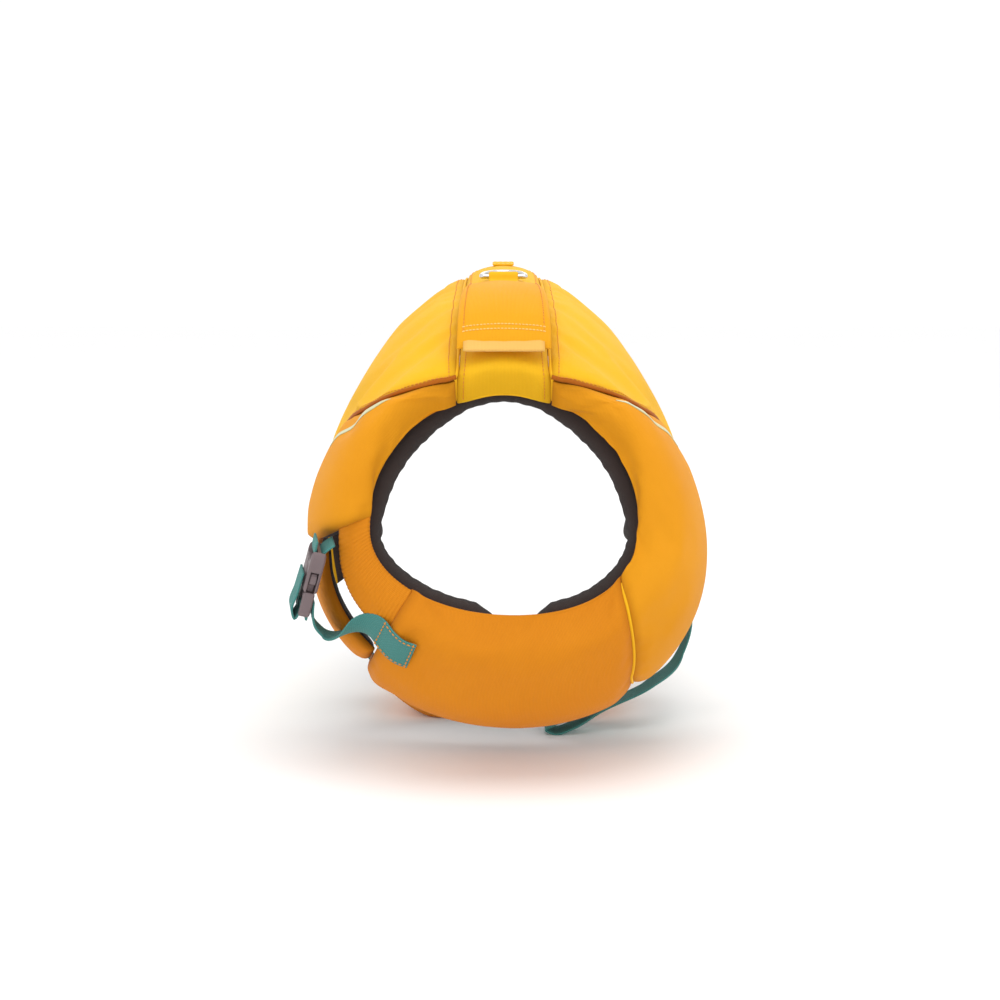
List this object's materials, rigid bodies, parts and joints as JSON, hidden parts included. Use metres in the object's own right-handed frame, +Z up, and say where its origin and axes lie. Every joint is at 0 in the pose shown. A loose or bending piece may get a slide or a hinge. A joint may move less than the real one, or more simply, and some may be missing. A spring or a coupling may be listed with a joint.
{
  "type": "dog's life jacket",
  "caption": "Dog's life jacket of foam panels with a neck collar, chest and belly panels, webbing straps with side-release buckles, a padded grab handle and a leash ring.",
  "frame": {"origin": "middle of the underside, in the plane the belly panel rests on", "axes": "+Z up, -Y towards the dog's head, +X the dog's left side"},
  "size_m": [0.3332, 0.4122, 0.403],
  "materials": {
    "cover_cloth": "matte",
    "collar_cloth": "matte",
    "chest_cloth": "matte",
    "lining_cloth": "matte",
    "foam": "matte",
    "webbing": "matte",
    "buckle_plastic": "satin",
    "ring_steel": "brushed",
    "reflective_tape": "glossy"
  },
  "bodies": {
    "jacket": {"spine_cover": "cover_cloth", "spine_foam": "foam", "spine_lining": "lining_cloth", "left_side_cover": "cover_cloth", "left_side_foam": "foam", "left_side_lining": "lining_cloth", "right_side_cover": "cover_cloth", "right_side_foam": "foam", "right_side_lining": "lining_cloth", "left_collar_cover": "collar_cloth", "left_collar_foam": "foam", "left_collar_lining": "lining_cloth", "right_collar_cover": "collar_cloth", "right_collar_foam": "foam", "right_collar_lining": "lining_cloth", "chest_cover": "chest_cloth", "chest_foam": "foam", "chest_lining": "lining_cloth", "shoulder_cover": "chest_cloth", "shoulder_foam": "foam", "shoulder_lining": "lining_cloth", "belly_front_socket": "buckle_plastic", "belly_rear_socket": "buckle_plastic", "neck_socket": "buckle_plastic", "belly_front_anchor": "webbing", "belly_rear_anchor": "webbing", "neck_socket_webbing": "webbing", "neck_strap": "webbing", "handle_webbing": "chest_cloth", "leash_keeper": "webbing", "lamp_loop": "webbing", "handle_grip": "chest_cloth", "neck_tongue": "chest_cloth", "left_trim": "reflective_tape", "right_trim": "reflective_tape"},
    "belly": {"belly_cover": "chest_cloth", "belly_foam": "foam", "belly_lining": "lining_cloth", "belly_front_hinge_strap": "webbing", "belly_rear_hinge_strap": "webbing", "belly_front_strap": "webbing", "belly_rear_strap": "webbing", "belly_front_plug": "buckle_plastic", "belly_rear_plug": "buckle_plastic"},
    "belly_front_arm_front": {"belly_front_arm_front": "buckle_plastic"},
    "belly_front_arm_rear": {"belly_front_arm_rear": "buckle_plastic"},
    "belly_rear_arm_front": {"belly_rear_arm_front": "buckle_plastic"},
    "belly_rear_arm_rear": {"belly_rear_arm_rear": "buckle_plastic"},
    "neck_plug": {"neck_plug": "buckle_plastic", "neck_tail": "webbing"},
    "neck_arm_front": {"neck_arm_front": "buckle_plastic"},
    "neck_arm_rear": {"neck_arm_rear": "buckle_plastic"},
    "leash_ring": {"leash_ring": "ring_steel"}
  },
  "joints": [
    {"name": "belly_swing", "type": "hinge", "parent": "jacket", "child": "belly", "pos_m": [-0.15229, 0.02311, 0.12976], "axis": [0.0805, 0.9968, 0], "range_deg": [0, 80]},
    {"name": "belly_front_arm_front_squeeze", "type": "hinge", "parent": "belly", "child": "belly_front_arm_front", "pos_m": [0.1611, 0.01132, 0.13], "axis": [-1, 0, 0], "range_deg": [0, 6], "stiffness_Nm_per_rad": 0.05},
    {"name": "belly_front_arm_rear_squeeze", "type": "hinge", "parent": "belly", "child": "belly_front_arm_rear", "pos_m": [0.1611, 0.03252, 0.13], "axis": [1, 0, 0], "range_deg": [0, 6], "stiffness_Nm_per_rad": 0.05},
    {"name": "belly_rear_arm_front_squeeze", "type": "hinge", "parent": "belly", "child": "belly_rear_arm_front", "pos_m": [0.15577, 0.08532, 0.13], "axis": [-1, 0, 0], "range_deg": [0, 6], "stiffness_Nm_per_rad": 0.05},
    {"name": "belly_rear_arm_rear_squeeze", "type": "hinge", "parent": "belly", "child": "belly_rear_arm_rear", "pos_m": [0.15577, 0.10652, 0.13], "axis": [1, 0, 0], "range_deg": [0, 6], "stiffness_Nm_per_rad": 0.05},
    {"name": "neck_plug_pull", "type": "slide", "parent": "jacket", "child": "neck_plug", "axis": [-0.2703, 0.0601, -0.9609], "range_m": [0, 0.024]},
    {"name": "neck_arm_front_squeeze", "type": "hinge", "parent": "neck_plug", "child": "neck_arm_front", "pos_m": [-0.14838, -0.17931, 0.15428], "axis": [-0.9476, -0.1934, 0.2544], "range_deg": [0, 6], "stiffness_Nm_per_rad": 0.05},
    {"name": "neck_arm_rear_squeeze", "type": "hinge", "parent": "neck_plug", "child": "neck_arm_rear", "pos_m": [-0.15199, -0.15855, 0.15659], "axis": [0.9476, 0.1934, -0.2544], "range_deg": [0, 6], "stiffness_Nm_per_rad": 0.05},
    {"name": "leash_ring_swing", "type": "hinge", "parent": "jacket", "child": "leash_ring", "pos_m": [0, 0.02835, 0.38614], "axis": [1, 0, 0], "range_deg": [0, 150]}
  ],
  "couplings": [
    {"joint": "belly_front_arm_front_squeeze", "follows": "belly_front_arm_rear_squeeze", "ratio": 1},
    {"joint": "belly_rear_arm_front_squeeze", "follows": "belly_rear_arm_rear_squeeze", "ratio": 1},
    {"joint": "neck_arm_front_squeeze", "follows": "neck_arm_rear_squeeze", "ratio": 1}
  ]
}
